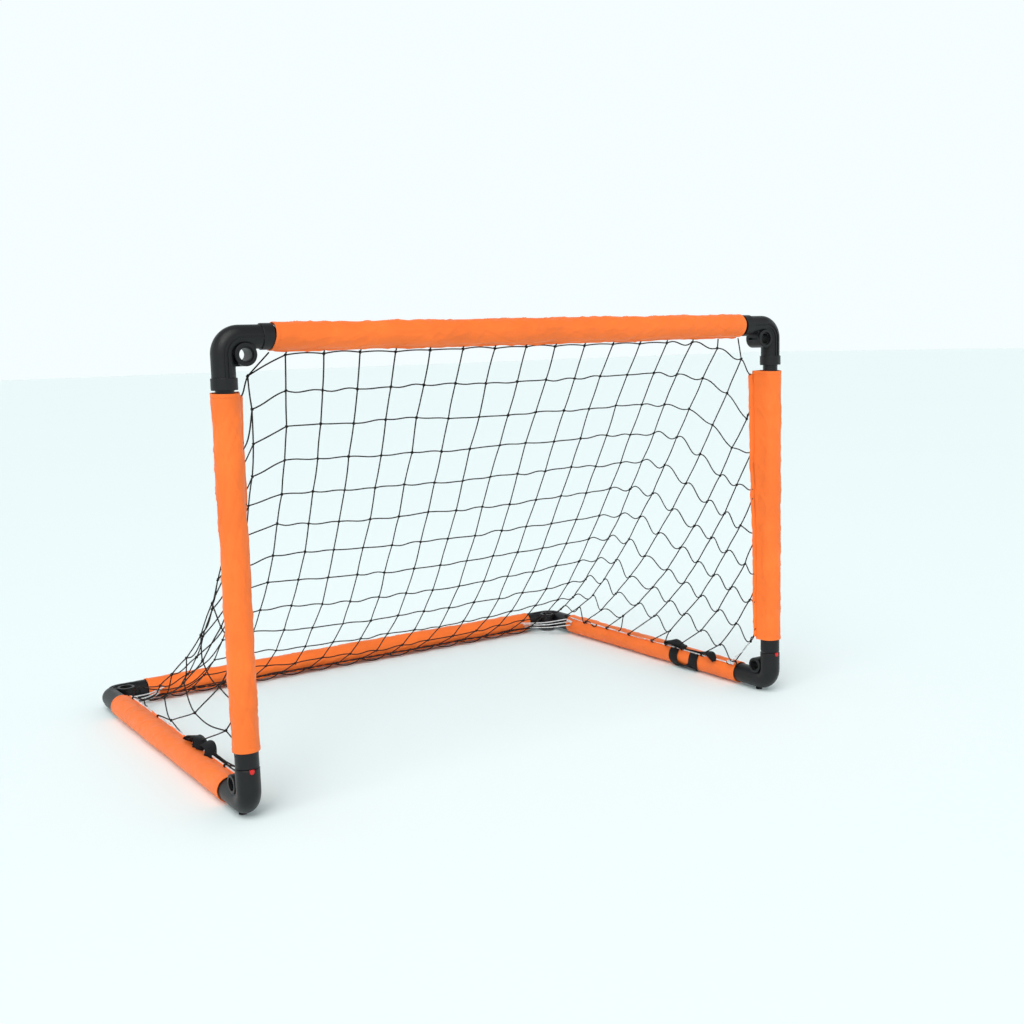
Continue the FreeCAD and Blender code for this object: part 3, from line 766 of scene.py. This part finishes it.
def around_rail(side, y, angle, radius):
    """A point beside a side rail; angle goes up from the inboard side."""
    turn = math.radians(angle)
    return Vector((SIDES[side] * (SIDE_X - radius * math.cos(turn)), y,
                   RAIL_Z + radius * math.sin(turn)))


for side, hand in SIDES.items():
    strap = Shape()
    radius = SLEEVE_RADIUS + 1.0 * MM
    route = [(163, 66), (163, 50), (162, 20), (163, -18), (169, -45), (187, -62), (205, -45),
             (211, -18), (212, 20), (212, 50), (212, 66)]
    flat = smooth_path([Vector((y, angle * 0.305, 0)) for y, angle in route], 6)
    points = [around_rail(side, FRONT_Y + p.x * MM, p.y / 0.305, radius) for p in flat]
    across = []
    for k in range(len(flat)):
        run = flat[min(k + 1, len(flat) - 1)] - flat[max(k - 1, 0)]
        turn = math.radians(flat[k].y / 0.305)
        up_rail = Vector((SIDES[side] * math.sin(turn), 0, math.cos(turn)))
        across.append(Vector((0, run.y, 0)) - up_rail * run.x)
    ribbon(strap, points, across, 21 * MM, 1.4 * MM)
    # Hump of doubled webbing that stands up behind, and the tail that runs forward along the rail
    hump = smooth_path([around_rail(side, FRONT_Y + y * MM, angle, SLEEVE_RADIUS + out * MM)
                        for y, angle, out in ((190, 66, 1.6), (193, 64, 6), (202, 62, 11), (213, 61, 13.2),
                                              (224, 61, 11.5), (231, 62, 7), (233, 64, 2.2))], 5)
    ribbon(strap, hump, [Vector((-hand, 0, 0.25 * math.sin(k / 3))) for k in range(len(hump))],
           [(17 - 5 * abs(2 * k / (len(hump) - 1) - 1) ** 3) * MM for k in range(len(hump))], 1.6 * MM)
    under = [p + Vector((0, 0, -3.2 * MM)) for p in hump[4:-4]]
    ribbon(strap, under, [Vector((-hand, 0, -0.15))] * len(under), 14 * MM, 1.6 * MM)
    if side == "left":  # the longer end is doubled over once more
        second = [p + Vector((2 * MM, -31 * MM, -1.5 * MM)) for p in hump]
        ribbon(strap, second, [Vector((-hand, 0, 0.3))] * len(second), 16 * MM, 1.6 * MM)
        third = [p + Vector((1 * MM, 14 * MM, -2.5 * MM)) for p in hump]
        ribbon(strap, third, [Vector((-hand, 0, -0.2))] * len(third), 15 * MM, 1.6 * MM)
    tail_line = {"right": ((216, 58, 2.4), (192, 57, 2.6), (168, 58, 2.8), (150, 60, 4.6), (134, 62, 8),
                           (121, 56, 9.5), (112, 44, 7.5), (109, 34, 4.5)),
                 "left": ((216, 46, 2.4), (192, 40, 2.6), (168, 28, 3), (146, 14, 4), (124, 10, 5),
                          (106, 16, 8), (90, 24, 11), (76, 22, 10))}[side]
    tail = smooth_path([around_rail(side, FRONT_Y + y * MM, angle, SLEEVE_RADIUS + out * MM)
                        for y, angle, out in tail_line], 6)
    last = len(tail) - 1
    twist = [math.radians(-28 + 85 * max(0.0, k / last - 0.35) / 0.65) for k in range(last + 1)]
    sides = [Vector((hand * math.cos(a), 0, math.sin(a))) for a in twist]
    widths = [(14 - 7 * max(0.0, k / last - 0.75) / 0.25) * MM for k in range(last + 1)]
    ribbon(strap, tail, sides, widths, 1.4 * MM)
    strap.verts = [(x, y, max(z, 0.6 * MM)) for x, y, z in strap.verts]
    strap.piece(f"rail_strap_loop_{side}", "black_webbing", "base", [f"rail_strap_{side}"])


# White cords: one along each side rail's inner top, and lashings across the rear corners

for side, hand in SIDES.items():
    low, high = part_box(f"edge_cord_{side}")
    begin, finish = low[1], high[1]
    cord = Shape()
    line = []
    steps = 150
    for k in range(steps + 1):
        y = begin + (finish - begin) * k / steps
        wave = noise.noise(Vector((y / (22 * MM), 3.0 * hand, 1.5)))
        out = CORD_OFFSET + 0.5 * MM * wave
        angle = CORD_ANGLE + 0.03 * noise.noise(Vector((y / (31 * MM), hand, 7.5)))
        line.append(Vector((hand * (SIDE_X - out * math.cos(angle)), y, RAIL_Z + out * math.sin(angle))))
    strand(cord, line, 1.15 * MM, 8)
    corner = Vector((hand * SIDE_X, REAR_Y, RAIL_Z))
    for near, far, high_end in ((80, 84, 9), (86, 78, 13), (76, 90, 4)):
        a = corner + Vector((-hand * near, -19.5, high_end - 9)) * MM
        b = corner + Vector((-hand * 18, -far, high_end - 1)) * MM
        middle = a.lerp(b, 0.5) + Vector((0, 0, -3 * MM))
        strand(cord, smooth_path([a, middle, b], 8), 1.0 * MM, 6)
    for k in range(3):
        tie(cord, corner + Vector((-hand * (20 - k), -(84 + 4 * k), 11 - k)) * MM, 1.5)
    # Front knot, with two ends that go up into the net
    knot_at = Vector((hand * (LACE_X - 2 * MM), FRONT_Y + 72 * MM, LACE_Z + 1 * MM))
    for k in range(3):
        tie(cord, knot_at + Vector((0, (k - 1) * 4, 0.5 * k)) * MM, 1.9)
    ends = Shape()
    for spot in (((22, 8), (22, 7)) if side == "right" else ((-6, 8), (-6, 7))):
        twine(ends, knot_at, KNOTS[spot] + Vector((-hand * 1.5 * MM, 0, 0)), bow=2, swing=2, steps=10,
              radius=0.7 * MM)
    ends.piece(f"lacing_ends_{side}", "white_cord", "base")
    cord.piece(f"lacing_{side}", "white_cord", "base", [f"edge_cord_{side}"])

    # Dark thread wound round the white cord at each column's foot
    thread = Shape()
    feet = [c.foot.y for c in COLUMNS.values() if abs(c.foot.x - hand * LACE_X) < 1e-4]
    for foot_y in feet:
        for turn in range(3):
            middle = foot_y + (turn - 1) * 2.1 * MM
            axis = Vector((hand * (SIDE_X - CORD_OFFSET * math.cos(CORD_ANGLE)), middle,
                           RAIL_Z + CORD_OFFSET * math.sin(CORD_ANGLE)))
            ring = [axis + Vector((math.cos(a) * 2.1, 0.8 * math.sin(a), math.sin(a) * 2.1)) * MM
                    for a in (2 * math.pi * k / 14 for k in range(14))]
            strand(thread, ring, 0.55 * MM, 5, closed=True)
    thread.piece(f"binding_{side}", "net_twine", "base")


# Springs behind the buttons; the real ones shorten as the buttons go in, but these coils keep one length

for side in SIDES:
    low, high = (Vector(v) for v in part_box(f"button_spring_{side}"))
    middle = (low + high) / 2
    wire = 0.35 * MM
    coil_radius = (high.x - low.x) / 2 - wire
    coil = Shape()
    turns, rise = 5, high.y - low.y - 2 * wire
    strand(coil, [Vector((middle.x + coil_radius * math.cos(a),
                          low.y + wire + rise * a / (2 * math.pi * turns),
                          middle.z + coil_radius * math.sin(a)))
                  for a in (2 * math.pi * k / 20 for k in range(20 * turns + 1))], wire, 8)
    spring = coil.piece(f"coil_{side}", "steel", "base", [f"button_spring_{side}"])
    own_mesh(spring)


# Floor and light

def make_floor():
    material = Nodes("floor", (0.87, 0.96, 0.965), 0.8)
    material.set("Base Color", material.ramp(material.noise(0.7, 2), [(0.0, (0.865, 0.955, 0.96)),
                                                                     (1.0, (0.875, 0.965, 0.97))]))
    mesh = bpy.data.meshes.new("floor")
    reach = 30
    mesh.from_pydata([(-reach, -reach, 0), (reach, -reach, 0), (reach, reach, 0), (-reach, reach, 0)],
                     [], [(0, 1, 2, 3)])
    mesh.materials.append(material.material)
    floor = bpy.data.objects.new("floor", mesh)
    bpy.context.scene.collection.objects.link(floor)


def make_light(name, place, target, size, power, colour=(1, 1, 1)):
    data = bpy.data.lights.new(name, "AREA")
    data.shape, data.size, data.energy, data.color = "DISK", size, power, colour
    light = bpy.data.objects.new(name, data)
    bpy.context.scene.collection.objects.link(light)
    light.location = place
    light.rotation_euler = (Vector(target) - Vector(place)).to_track_quat("-Z", "Y").to_euler()


def make_studio():
    """A pale studio: bright all round near the horizon, dimmer overhead, so a soft sun gives the form."""
    world = bpy.data.worlds.new("studio")
    bpy.context.scene.world = world
    world.use_nodes = True
    tree = world.node_tree
    back = tree.nodes["Background"]
    spot = tree.nodes.new("ShaderNodeTexCoord")
    parts = tree.nodes.new("ShaderNodeSeparateXYZ")
    ramp = tree.nodes.new("ShaderNodeValToRGB")
    tree.links.new(spot.outputs["Generated"], parts.inputs[0])
    tree.links.new(parts.outputs["Z"], ramp.inputs["Fac"])
    tree.links.new(ramp.outputs["Color"], back.inputs["Color"])
    ramp.color_ramp.elements[0].position = 0.34
    ramp.color_ramp.elements[0].color = (0.92, 0.99, 1.0, 1)
    ramp.color_ramp.elements[1].position = 0.72
    ramp.color_ramp.elements[1].color = (0.36, 0.39, 0.41, 1)
    back.inputs["Strength"].default_value = 1.0
    data = bpy.data.lights.new("sun", "SUN")
    data.energy, data.angle, data.color = 1.75, math.radians(50), (1, 0.98, 0.95)
    sun = bpy.data.objects.new("sun", data)
    bpy.context.scene.collection.objects.link(sun)
    sun.rotation_euler = Vector((0.55, 0.62, -1.15)).to_track_quat("-Z", "Y").to_euler()


make_floor()
make_studio()
make_light("key", (-2.4, -2.6, 2.6), (0, 0, 0.3), 1.2, 16)
bpy.context.scene.view_settings.view_transform = "Standard"
